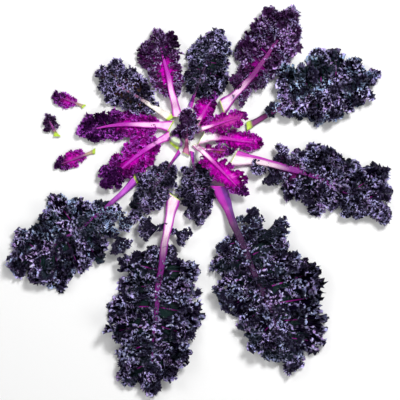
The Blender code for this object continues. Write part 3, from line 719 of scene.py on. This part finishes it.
def add_lobule(work, leaf, midrib, middle, radius, waves, frills, rng):
    """A small leaf beside the stalk, held by a thin strip of its own."""
    away = np.array(middle) + PLAN_SHIFT - midrib.points
    nearest = np.linalg.norm(away, axis=1).argmin()
    x, way = midrib.lengths[nearest], midrib.ways[nearest]
    y = way[0] * away[nearest][1] - way[1] * away[nearest][0]
    side = math.copysign(1, y)
    level = rib_level(leaf) * min(1, x / (leaf.start * midrib.length + 1e-6)) + 0.002
    root = np.array([[x - 0.3 * radius, y - side * 1.1 * radius, level]])
    outward = unit(np.array([[x, y, level]]) - root)
    axis = np.array([[0.0, 0.0, 1.0]])
    points, wavy = fans(
        root, axis, outward, np.array([LOBULE_FAN * radius]), np.array([LOBULE_CONE]),
        np.array([LOBULE_SPREAD]), waves, np.array([LOBULE_WAVE * radius]),
        LOBULE_ROWS, LOBULE_COLUMNS, rng,
    )
    work.add_fans(points, wavy, LOBULE_ROWS, LOBULE_MARGIN, 0.3)
    hold = np.array([(x - 0.8 * radius, side * 0.001, level), root[0]])
    turn = np.linspace(0, 2 * math.pi, STRIP_SIDES)
    wide = np.array((0.0014, 0.0010))[:, None] * np.cos(turn)
    tube = hold[:, None] + np.stack((wide, 0 * wide, 0.0005 * np.sin(turn) + 0 * wide), axis=-1)
    first = work.add(tube, margin=0.7, crest=0.0, lobe=1.0, along=0.3)
    work.faces.append(grid_triangles(first, 2, STRIP_SIDES))
    count = int(LOBULE_CURLS[0] + LOBULE_CURLS[1] * radius)
    row = rng.integers(3, len(LOBULE_ROWS), count)
    column = rng.integers(1, LOBULE_COLUMNS, count)
    roots = points[0, row, column]
    outward = unit(roots - points[0, row - 1, column])
    beside = hold[0] + np.linspace(0.3, 1.0, STRIP_CURLS)[:, None] * (hold[1] - hold[0])
    across = unit(np.array([[hold[0, 1] - hold[1, 1], hold[1, 0] - hold[0, 0], 0.0]]))
    roots = np.concatenate((roots, beside))
    sides = np.where(np.arange(STRIP_CURLS) % 2, -1, 1)[:, None]
    outward = np.concatenate((outward, across * sides))
    count += STRIP_CURLS
    normal = np.tile((0.0, 0.0, 1.0), (count, 1))
    leans, turns = np.full(count, 0.1), np.full(count, 1.3)
    size = np.full(count, LOBULE_CURL_SIZE)
    small, wavy = curls(roots, outward, normal, size, leans, turns, 4, frills, rng)
    work.add_fans(small, wavy, CURL_ROWS, CURL_MARGIN, 0.3)


def blade_arrays(leaf, frills):
    """Points, triangles and attribute values of a finished blade."""
    rng = np.random.default_rng(sum(map(ord, leaf.name)))
    midrib = Midrib(leaf)
    work = Patchwork()
    for side in (1, -1):
        grid, wavy, across = side_sheet(leaf, midrib.length, side, frills, rng)
        along = np.linspace(0, 1, grid.shape[1])
        numbers = []
        for share, step, row in zip(ROW_SHARES, ROW_STEPS, grid):
            first = work.add(
                row[::step],
                margin=share,
                crest=wavy[::step] * share,
                lobe=np.abs(across[::step]),
                along=along[::step],
            )
            numbers.append(first + np.arange(len(row[::step])))
        for inner, outer in zip(numbers, numbers[1:]):
            work.faces.append(strip_triangles(inner, outer, side < 0))
        add_curls(work, leaf, grid, along, frills, rng)
    for name, middle, radius, waves in LOBULES:
        if name == leaf.name:
            add_lobule(work, leaf, midrib, middle, radius, waves, frills, rng)
    points, faces, values = work.finish(midrib, leaf.lift + 0.0006, CAD_BOX[1][2] + 0.004)
    finish = FINISHES[leaf.name]
    blush = np.clip((finish.blush - values.pop("along")) / 0.35, 0, 1)
    values["blush"] = blush * (1 - (0.6 if leaf.look == "magenta" else 0.9) * values["margin"])
    values["wax"] = np.full(len(points), finish.wax)
    values["olive"] = finish.olive * (1 - values["margin"] ** 3)
    return points, faces, values


def stalk_rings(leaf, midrib):
    """A straight stalk as rings of points, each ring's place and share along it, and how far
    out to the side each corner of a ring is."""
    start = leaf.start * midrib.length
    reach = start + RIB_SHARE * (midrib.length - leaf.end - start)
    seat = rib_level(leaf) + SHEET_THICK[leaf.kind] / 2 + SEAT_GAP
    rise_from, rise_to = RESTING_SHARE * start, CLEAR_SHARE * start
    share = np.linspace(0, 1, STALK_RINGS) ** RING_SPACING
    x = share * reach
    flare = np.exp(-((share / FLARE_LENGTH) ** 2))
    rng = np.random.default_rng(len(leaf.name) + leaf.lobes)
    body = leaf.neck * (1 - (1 - END_TAPER) * share**1.2)
    body *= 1 + 0.08 * smooth_noise(rng, x, 0.03)
    half_width = (body + (leaf.foot - leaf.neck) * flare) / 2
    swell, centre, spread = SWELLINGS.get(leaf.name, (0.0, 0.0, 1.0))
    swollen = swell * np.exp(-(((x / midrib.length - centre) / spread) ** 2))
    half_width += swollen
    risen = np.clip((x - rise_from) / (rise_to - rise_from), 0, 1)
    risen = risen**2 * (3 - 2 * risen)
    height = 2 * half_width * (FOOT_HEIGHT + (RIB_HEIGHT - FOOT_HEIGHT) * risen)
    turn = 2 * math.pi * np.arange(STALK_SIDES) / STALK_SIDES
    out, up = np.sin(turn), np.cos(turn)
    off_top = turn - 2 * math.pi * (turn > math.pi)
    groove = GROOVE[0] * np.exp(-(off_top / GROOVE[1]) ** 2)
    rib = RIBS[0] * np.cos(RIBS[1] * turn)
    wide = np.sign(out) * np.abs(out) ** 0.85 * (1 + rib)
    tall = 0.5 + 0.5 * np.sign(up) * np.abs(up) ** 0.75 * (1 + rib) - groove
    ring = np.stack(
        (
            np.repeat(x[:, None], STALK_SIDES, 1),
            half_width[:, None] * wide,
            (seat * risen)[:, None] + height[:, None] * np.clip(tall, 0.0, None),
        ),
        axis=-1,
    )
    ring[..., 1] += (0.10 * leaf.neck * smooth_noise(rng, x, 0.05) * share**0.5)[:, None]
    folds = np.sin(FOLDS[1] * turn[None] + FOLDS[2] * x[:, None]) * np.clip(up, 0, 1)
    ring[..., 2] += FOLDS[0] * swollen[:, None] * folds
    slant = FOOT_SLANT[0] * leaf.foot * np.clip(1 - x / (FOOT_SLANT[1] * leaf.foot), 0, 1)
    ring[..., 0] += slant[:, None] * (ring[..., 1] / (leaf.foot / 2))
    return ring, x, share, out


def ring_triangles(near, far, flip=False):
    """Triangles between two closed rings of vertex numbers."""
    n, f = np.roll(near, -1), np.roll(far, -1)
    faces = np.concatenate((np.stack((near, far, f), axis=-1), np.stack((near, f, n), axis=-1)))
    return faces[:, ::-1] if flip else faces


def stalk_arrays(leaf):
    """Points, triangles and attribute values of a finished stalk, with its cut end."""
    midrib = Midrib(leaf)
    ring, x, share, out = stalk_rings(leaf, midrib)
    sides, green = STALK_SIDES, FINISHES[leaf.name].green
    points = [ring.reshape(-1, 3)]
    numbers = np.arange(STALK_RINGS * sides).reshape(STALK_RINGS, sides)
    faces = [ring_triangles(near, far) for near, far in zip(numbers, numbers[1:])]
    along = [np.repeat(share, sides)]
    around = [np.tile(out, STALK_RINGS)]
    cut = [np.repeat(0.3 * np.clip(1.4 - x / green, 0, 1), sides)]
    for station, flip in ((0, True), (-1, False)):
        edge = ring[station]
        middle = edge.mean(axis=0)
        first = sum(len(part) for part in points)
        rings = [middle + (edge - middle) * part for part in CUT_RINGS]
        points.append(np.concatenate(rings + [middle[None]]))
        cap = first + np.arange(3 * sides).reshape(3, sides)
        faces += [ring_triangles(outer, inner, flip) for outer, inner in zip(cap, cap[1:])]
        hub = np.full(sides, first + 3 * sides)
        spin = np.stack((cap[2], hub, np.roll(cap[2], -1)), axis=-1)
        faces.append(spin[:, ::-1] if flip else spin)
        along.append(np.full(3 * sides + 1, share[station]))
        around.append(np.zeros(3 * sides + 1))
        edge_cut = 0.5 if green > GREEN_LEAST else 0.9
        cut.append(np.concatenate([np.full(sides, edge_cut), np.ones(2 * sides + 1)]))
    points = midrib.bend(np.concatenate(points))
    points[:, 2] = np.maximum(points[:, 2], 0.0)
    values = {
        "along": np.concatenate(along),
        "around": np.concatenate(around),
        "cut": np.concatenate(cut),
    }
    return points, np.concatenate(faces), values


class Nodes:
    """Short names for adding and linking the nodes of one tree."""

    def __init__(self, tree):
        self.tree = tree

    def add(self, kind, **settings):
        node = self.tree.nodes.new(kind)
        for key, value in settings.items():
            setattr(node, key, value)
        return node

    def put(self, socket, value):
        if hasattr(value, "is_output"):
            self.tree.links.new(value, socket)
        elif hasattr(socket.default_value, "__len__") and len(value) == 3:
            socket.default_value = (*value, 1.0)
        else:
            socket.default_value = value

    def math(self, operation, a, b=0.0):
        node = self.add("ShaderNodeMath", operation=operation)
        self.put(node.inputs[0], a)
        self.put(node.inputs[1], b)
        return node.outputs[0]

    def times(self, a, b):
        return self.math("MULTIPLY", a, b)

    def ramp(self, value, low, high):
        node = self.add("ShaderNodeMapRange", interpolation_type="SMOOTHSTEP")
        self.put(node.inputs["Value"], value)
        self.put(node.inputs["From Min"], low)
        self.put(node.inputs["From Max"], high)
        return node.outputs["Result"]

    def mix(self, factor, a, b):
        node = self.add("ShaderNodeMix", data_type="RGBA")
        self.put(node.inputs["Factor"], factor)
        self.put(node.inputs["A"], a)
        self.put(node.inputs["B"], b)
        return node.outputs["Result"]

    def noise(self, scale, detail=3.0, vector=None):
        node = self.add("ShaderNodeTexNoise")
        self.put(node.inputs["Scale"], scale)
        self.put(node.inputs["Detail"], detail)
        if vector is not None:
            self.put(node.inputs["Vector"], vector)
        return node.outputs["Fac"]

    def attribute(self, name):
        return self.add("ShaderNodeAttribute", attribute_name=name).outputs["Fac"]


def new_group(name, inputs, outputs):
    """A shader node group with the sockets named, and the nodes that stand for them."""
    tree = bpy.data.node_groups.new(name, "ShaderNodeTree")
    for key, kind in inputs:
        tree.interface.new_socket(key, in_out="INPUT", socket_type=kind)
    for key, kind in outputs:
        tree.interface.new_socket(key, in_out="OUTPUT", socket_type=kind)
    nodes = Nodes(tree)
    return nodes, nodes.add("NodeGroupInput"), nodes.add("NodeGroupOutput")


FLOAT, COLOUR = "NodeSocketFloat", "NodeSocketColor"


def leaf_tissue_group():
    """Colour and relief of a blade from how near the margin, a crest or a vein a point is, with
    highlights painted on its margin and crests.
    """
    found = bpy.data.node_groups.get("Leaf tissue")
    if found:
        return found
    nodes, given, wanted = new_group(
        "Leaf tissue",
        (
            ("Margin", FLOAT), ("Crest", FLOAT), ("Lobe", FLOAT), ("Blush", FLOAT), ("Wax", FLOAT),
            ("Olive", FLOAT), ("Brown", COLOUR), ("Lamina", COLOUR), ("Teal", COLOUR),
            ("Frill", COLOUR), ("Edge", COLOUR), ("Bloom", COLOUR), ("Bright", COLOUR),
            ("Vein", COLOUR), ("Glint", COLOUR),
        ),
        (("Color", COLOUR), ("Height", FLOAT)),
    )
    margin, crest, lobe = (given.outputs[key] for key in ("Margin", "Crest", "Lobe"))
    coords = nodes.add("ShaderNodeTexCoord").outputs["Object"]
    patches = nodes.noise(38.0, 2.0, coords)
    mottle = nodes.noise(420.0, 3.0, coords)
    uneven = nodes.noise(210.0, 2.0, coords)
    # Broad patches of painted light and shade on the edge highlights.
    light_patches = nodes.ramp(nodes.noise(52.0, 1.0, coords), 0.40, 0.57)
    calm = nodes.ramp(nodes.noise(31.0, 1.0, coords), 0.57, 0.64)
    busy = nodes.math("SUBTRACT", 1.0, nodes.times(calm, 0.5))
    into_frill = nodes.ramp(margin, 0.34, 0.66)
    into_frill = nodes.math("MAXIMUM", into_frill, nodes.ramp(patches, 0.5, 0.7))
    into_frill = nodes.times(into_frill, busy)
    green = nodes.mix(given.outputs["Wax"], given.outputs["Lamina"], given.outputs["Teal"])
    colour = nodes.mix(into_frill, green, given.outputs["Frill"])
    blushing = nodes.math("ADD", given.outputs["Blush"], nodes.times(mottle, 0.5))
    glow = nodes.times(nodes.ramp(nodes.noise(120.0, 1.0, coords), 0.38, 0.56), 0.32)
    blushing = nodes.times(nodes.ramp(blushing, 0.32, 1.0), nodes.math("ADD", 0.68, glow))
    colour = nodes.mix(blushing, colour, given.outputs["Bright"])
    browned = nodes.math("ADD", given.outputs["Olive"], nodes.times(mottle, 0.3))
    browned = nodes.times(nodes.ramp(browned, 0.3, 0.9), given.outputs["Olive"])
    colour = nodes.mix(browned, colour, given.outputs["Brown"])
    # Colour of the painted edge highlights: lavender, pale blue on waxy leaves, magenta in places,
    # with near-white painted glints.
    pale = nodes.ramp(nodes.noise(44.0, 1.0, coords), 0.44, 0.58)
    pale = nodes.times(pale, given.outputs["Wax"])
    highlight_colour = nodes.mix(pale, given.outputs["Edge"], given.outputs["Bloom"])
    warm = nodes.times(nodes.ramp(nodes.noise(76.0, 1.0, coords), 0.52, 0.64), 0.4)
    highlight_colour = nodes.mix(warm, highlight_colour, given.outputs["Vein"])
    # Painted glints: specks of the glint colour on the edge highlights.
    glint = nodes.times(nodes.ramp(nodes.noise(340.0, 1.0, coords), 0.54, 0.64), 0.7)
    highlight_colour = nodes.mix(glint, highlight_colour, given.outputs["Glint"])
    # Painted highlights where the margin catches light: broad on crests, thin along the rim, in
    # broken lines, fewer in calm patches.
    crest_highlight = nodes.times(nodes.ramp(margin, 0.89, 1.0), nodes.ramp(crest, 0.2, 0.9))
    crest_highlight = nodes.times(crest_highlight, nodes.ramp(uneven, 0.50, 0.66))
    rim_highlight = nodes.times(nodes.ramp(margin, 0.905, 0.965), nodes.ramp(uneven, 0.38, 0.54))
    rim_highlight = nodes.times(nodes.math("MAXIMUM", crest_highlight, rim_highlight), busy)
    # Painted light and shade on the highlights in broad patches, stronger on waxy leaves.
    lit = nodes.math("ADD", 0.08, nodes.times(light_patches, 0.92))
    strong = nodes.math("ADD", 0.70, nodes.times(given.outputs["Wax"], 0.30))
    rim_highlight = nodes.times(nodes.times(rim_highlight, lit), strong)
    colour = nodes.mix(rim_highlight, colour, highlight_colour)
    width = nodes.times(nodes.math("SUBTRACT", 0.72, margin), 0.14)
    on_vein = nodes.math("SUBTRACT", 1.0, nodes.ramp(nodes.math("DIVIDE", lobe, width), 0.5, 1.3))
    on_vein = nodes.times(on_vein, nodes.math("LESS_THAN", margin, 0.68))
    on_vein = nodes.times(on_vein, 0.7)
    colour = nodes.mix(on_vein, colour, given.outputs["Vein"])
    nodes.put(wanted.inputs["Color"], colour)
    nodes.put(wanted.inputs["Height"], nodes.math("ADD", mottle, on_vein))
    return nodes.tree


def stalk_skin_group():
    """Colour and relief of a stalk from its place along, around and inside the cut."""
    found = bpy.data.node_groups.get("Stalk skin")
    if found:
        return found
    nodes, given, wanted = new_group(
        "Stalk skin",
        (
            ("Along", FLOAT), ("Around", FLOAT), ("Cut", FLOAT), ("Middle", COLOUR),
            ("Sides", COLOUR), ("Far end", COLOUR), ("Rim", COLOUR), ("Pith", COLOUR),
            ("Fade", FLOAT), ("Shift", FLOAT),
        ),
        (("Color", COLOUR), ("Height", FLOAT)),
    )
    along, around, cut = (given.outputs[key] for key in ("Along", "Around", "Cut"))
    fibres = nodes.add("ShaderNodeCombineXYZ")
    nodes.put(fibres.inputs[0], nodes.times(along, 6.0))
    nodes.put(fibres.inputs[1], nodes.times(around, 9.0))
    streaks = nodes.noise(2.2, 4.0, fibres.outputs[0])
    off_middle = nodes.math("ABSOLUTE", nodes.math("SUBTRACT", around, given.outputs["Shift"]))
    off_middle = nodes.math("ADD", off_middle, nodes.times(streaks, 0.5))
    colour = nodes.mix(
        nodes.ramp(off_middle, 0.62, 1.04), given.outputs["Middle"], given.outputs["Sides"]
    )
    line = nodes.times(nodes.ramp(streaks, 0.52, 0.66), 0.55)
    colour = nodes.mix(line, colour, given.outputs["Sides"])
    gone = nodes.math("SUBTRACT", along, given.outputs["Fade"])
    gone = nodes.math("ADD", gone, nodes.times(streaks, 0.12))
    colour = nodes.mix(nodes.ramp(gone, -0.06, 0.20), colour, given.outputs["Far end"])
    colour = nodes.mix(nodes.ramp(cut, 0.02, 0.26), colour, given.outputs["Rim"])
    colour = nodes.mix(nodes.ramp(cut, 0.55, 0.85), colour, given.outputs["Pith"])
    nodes.put(wanted.inputs["Color"], colour)
    nodes.put(wanted.inputs["Height"], streaks)
    return nodes.tree


def new_material(name):
    """A material with nodes, the short names for them and its main shader."""
    material = bpy.data.materials.new(name)
    material.use_nodes = True
    return material, Nodes(material.node_tree), material.node_tree.nodes["Principled BSDF"]


def put_relief(nodes, shader, height, depth):
    bump = nodes.add("ShaderNodeBump")
    nodes.put(bump.inputs["Height"], height)
    bump.inputs["Strength"].default_value = RELIEF_STRENGTH
    bump.inputs["Distance"].default_value = depth
    nodes.put(shader.inputs["Normal"], bump.outputs["Normal"])


def blade_material(look, colours):
    """Waxy leaf tissue of one look, with a slightly paler underside."""
    name = "kale_blade_" + look
    found = bpy.data.materials.get(name)
    if found:
        return found
    material, nodes, shader = new_material(name)
    tissue = nodes.add("ShaderNodeGroup", node_tree=leaf_tissue_group())
    frill = getattr(colours, look)
    for key in ("Margin", "Crest", "Lobe", "Blush", "Wax", "Olive"):
        nodes.put(tissue.inputs[key], nodes.attribute(key.lower()))
    for key, value in (
        ("Brown", colours.brown),
        ("Lamina", colours.lamina if look == "dark" else frill),
        ("Frill", frill),
        ("Edge", getattr(colours, look + "_edge")),
        ("Bloom", colours.bloom),
        ("Bright", colours.blush),
        ("Vein", colours.vein),
        ("Teal", colours.teal if look == "dark" else frill),
        ("Glint", colours.magenta_edge if look == "magenta" else colours.glint),
    ):
        nodes.put(tissue.inputs[key], value)
    behind = nodes.add("ShaderNodeNewGeometry").outputs["Backfacing"]
    # The underside takes a trace of the edge highlight colour as its own paler tint.
    under = nodes.mix(0.015, tissue.outputs["Color"], getattr(colours, look + "_edge"))
    nodes.put(shader.inputs["Base Color"], nodes.mix(behind, tissue.outputs["Color"], under))
    put_relief(nodes, shader, tissue.outputs["Height"], TISSUE_RELIEF)
    shader.inputs["Roughness"].default_value = 0.32
    shader.inputs["IOR"].default_value = 1.33
    shader.inputs["Specular IOR Level"].default_value = 0.04
    shader.inputs["Coat Weight"].default_value = 0.07
    shader.inputs["Coat Roughness"].default_value = 0.10
    shader.inputs["Coat IOR"].default_value = 1.4
    return material


def stalk_material(rib, colours):
    """Smooth stalk skin of one look."""
    name = "kale_stalk_" + rib
    found = bpy.data.materials.get(name)
    if found:
        return found
    middle, sides, far, fade, shift = STALK_SKINS[rib]
    material, nodes, shader = new_material(name)
    skin = nodes.add("ShaderNodeGroup", node_tree=stalk_skin_group())
    for key in ("Along", "Around", "Cut"):
        nodes.put(skin.inputs[key], nodes.attribute(key.lower()))
    shows_cut = rib != "purple"
    for key, value in (
        ("Middle", middle),
        ("Sides", sides),
        ("Far end", far),
        ("Rim", colours.cut if shows_cut else middle),
        ("Pith", PITH if shows_cut else middle),
        ("Fade", fade),
        ("Shift", shift),
    ):
        nodes.put(skin.inputs[key], value)
    nodes.put(shader.inputs["Base Color"], skin.outputs["Color"])
    put_relief(nodes, shader, skin.outputs["Height"], SKIN_RELIEF)
    shader.inputs["Roughness"].default_value = 0.34
    shader.inputs["IOR"].default_value = 1.40
    return material


class KaleBlades(bpy.types.Operator):
    """Build every leaf's frilled blade"""

    bl_idname = "kale.blades"
    bl_label = "Build blades"

    def execute(self, context):
        for leaf in LEAVES:
            points, faces, values = blade_arrays(leaf, context.scene.kale_frills)
            material = blade_material(leaf.look, context.scene.kale_colours)
            node = leaf.name + "_blade"
            mesh_object(leaf.name + "_frills", points, faces, values, material, node)
        return {"FINISHED"}


class KaleStalks(bpy.types.Operator):
    """Build every leaf's stalk and midrib"""

    bl_idname = "kale.stalks"
    bl_label = "Build stalks"

    def execute(self, context):
        for leaf in LEAVES:
            points, faces, values = stalk_arrays(leaf)
            rib = FINISHES[leaf.name].rib
            material = stalk_material(rib, context.scene.kale_colours)
            node = leaf.name + "_stalk"
            mesh_object(leaf.name + "_midrib", points, faces, values, material, node)
        return {"FINISHED"}


class KaleStageBuild(bpy.types.Operator):
    """Set the floor, camera and soft light"""

    bl_idname = "kale.stage"
    bl_label = "Set the stage"

    def execute(self, context):
        stage = context.scene.kale_stage
        mesh = bpy.data.meshes.new("floor")
        ways = ((-1, -1), (1, -1), (1, 1), (-1, 1))
        corners = [(x * FLOOR_HALF, y * FLOOR_HALF, FLOOR_LEVEL) for x, y in ways]
        mesh.from_pydata(corners, [], [(0, 1, 2, 3)])
        floor = bpy.data.objects.new("floor", mesh)
        context.scene.collection.objects.link(floor)
        material, _, shader = new_material("floor")
        shader.inputs["Base Color"].default_value = FLOOR_COLOUR
        shader.inputs["Roughness"].default_value = 0.9
        mesh.materials.append(material)
        world = bpy.data.worlds.new("studio")
        world.use_nodes = True
        background = world.node_tree.nodes["Background"]
        background.inputs["Color"].default_value = (1.0, 1.0, 1.0, 1.0)
        background.inputs["Strength"].default_value = stage.world_strength
        context.scene.world = world
        context.scene.view_settings.view_transform = "Standard"
        for name, azimuth, share, width, height in LIGHTS:
            data = bpy.data.lights.new(name, "AREA")
            data.size = width
            data.energy = stage.key_power * share
            light = bpy.data.objects.new(name, data)
            turn = math.radians(azimuth)
            place = Vector((math.cos(turn), math.sin(turn), height))
            light.location = place
            light.rotation_euler = (-place).to_track_quat("-Z", "Y").to_euler()
            context.scene.collection.objects.link(light)
        data = bpy.data.cameras.new("camera")
        data.sensor_fit = "HORIZONTAL"
        away = stage.camera_height - VIEW_LEVEL
        data.angle = 2 * math.atan(stage.view_width / 2 / away)
        camera = bpy.data.objects.new("camera", data)
        camera.location = (*VIEW_CENTRE, stage.camera_height)
        context.scene.collection.objects.link(camera)
        context.scene.camera = camera
        return {"FINISHED"}


class KalePanel(bpy.types.Panel):
    """Sizes and colours of the bunch"""

    bl_idname = "VIEW3D_PT_kale"
    bl_label = "Purple kale bunch"
    bl_space_type = "VIEW_3D"
    bl_region_type = "UI"
    bl_category = "Kale"

    def draw(self, context):
        for group in ("kale_frills", "kale_colours", "kale_stage"):
            settings = getattr(context.scene, group)
            box = self.layout.box()
            for key in settings.__annotations__:
                box.prop(settings, key)
        for operator in (KaleBlades, KaleStalks, KaleStageBuild):
            self.layout.operator(operator.bl_idname)


CLASSES = (
    KaleFrills,
    KaleColours,
    KaleStage,
    KaleBlades,
    KaleStalks,
    KaleStageBuild,
    KalePanel,
)


def register():
    for item in CLASSES:
        bpy.utils.register_class(item)
    bpy.types.Scene.kale_frills = PointerProperty(type=KaleFrills)
    bpy.types.Scene.kale_colours = PointerProperty(type=KaleColours)
    bpy.types.Scene.kale_stage = PointerProperty(type=KaleStage)


def unregister():
    del bpy.types.Scene.kale_frills
    del bpy.types.Scene.kale_colours
    del bpy.types.Scene.kale_stage
    for item in reversed(CLASSES):
        bpy.utils.unregister_class(item)


def build():
    register()
    bpy.ops.kale.blades()
    bpy.ops.kale.stalks()
    bpy.ops.kale.stage()


if __name__ == "__main__":
    build()
